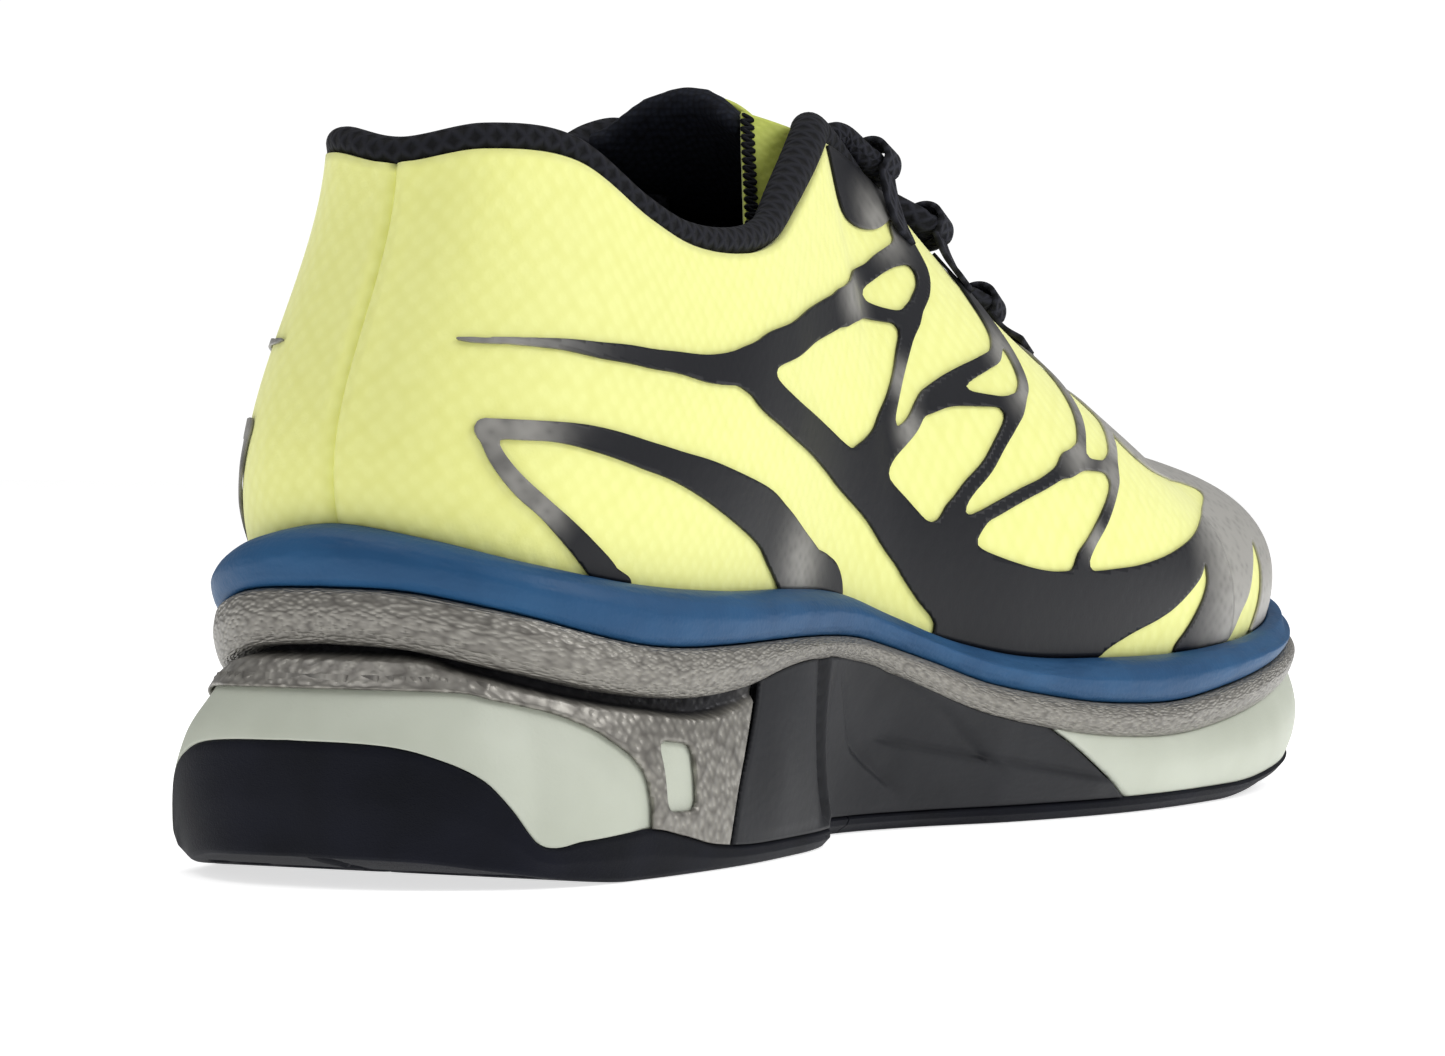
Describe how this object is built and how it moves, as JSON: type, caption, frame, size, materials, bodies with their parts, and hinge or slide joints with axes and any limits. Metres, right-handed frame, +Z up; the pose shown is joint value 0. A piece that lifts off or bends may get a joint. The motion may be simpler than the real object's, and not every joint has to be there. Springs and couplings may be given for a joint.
{
  "type": "running shoe",
  "caption": "Low running shoe for a left foot: knitted upper with welded film web, padded collar and tongue, laced throat, and a layered sole with an open window in its heel frame.",
  "frame": {"origin": "centre of the bounding box in plan, on the ground", "axes": "+X from heel to toe, +Y to the outer (lateral) side of the left foot, +Z up"},
  "size_m": [0.3026, 0.1054, 0.1225],
  "materials": {
    "board": "non-woven stitched board",
    "chassis": "silver scaled coating on moulded foam",
    "film": "heat-welded film, charcoal, satin gloss",
    "foam": "matte pale green-grey foam",
    "knit": "fine embossed mesh knit",
    "rim": "leathery satin foam skin",
    "rubber": "navy-black moulded rubber",
    "shank": "matte charcoal",
    "stiffener": "thermoformed sheet",
    "textile": "black knit and webbing",
    "tip": "clear-coated lace tip"
  },
  "bodies": {
    "shoe": {"midsole_rim": "rim", "chassis_frame": "chassis", "heel_foam": "foam", "arch_shank": "shank", "toe_foam": "foam", "outsole_heel": "rubber", "outsole_forefoot": "rubber", "strobel_board": "board", "quarter_medial": "knit", "quarter_lateral": "knit", "vamp": "knit", "heel_counter": "stiffener", "collar_lining": "textile", "toe_puff": "stiffener", "toe_cap": "film", "collar_binding": "textile", "web_medial": "film", "fin_medial": "film", "eyestay_medial": "film", "web_lateral": "film", "fin_lateral": "film", "eyestay_lateral": "film", "tongue_base": "textile", "shoelace": "textile", "aglet_medial": "tip", "aglet_lateral": "tip", "lace_loop_medial_1": "textile", "lace_loop_lateral_1": "textile", "lace_loop_medial_2": "textile", "lace_loop_lateral_2": "textile", "lace_loop_medial_3": "textile", "lace_loop_lateral_3": "textile", "lace_loop_medial_4": "textile", "lace_loop_lateral_4": "textile"},
    "tongue_tip": {"tongue_top": "textile", "tongue_face": "knit"},
    "insole": {"insole": "textile"}
  },
  "joints": [
    {"name": "tongue_tilt", "type": "hinge", "parent": "shoe", "child": "tongue_tip", "pos_m": [-0.0021, -0.0011, 0.1043], "axis": [0, 1, 0], "range_deg": [-8, 18]},
    {"name": "insole_lift", "type": "slide", "parent": "shoe", "child": "insole", "axis": [0, 0, 1], "range_m": [0, 0.005]}
  ]
}
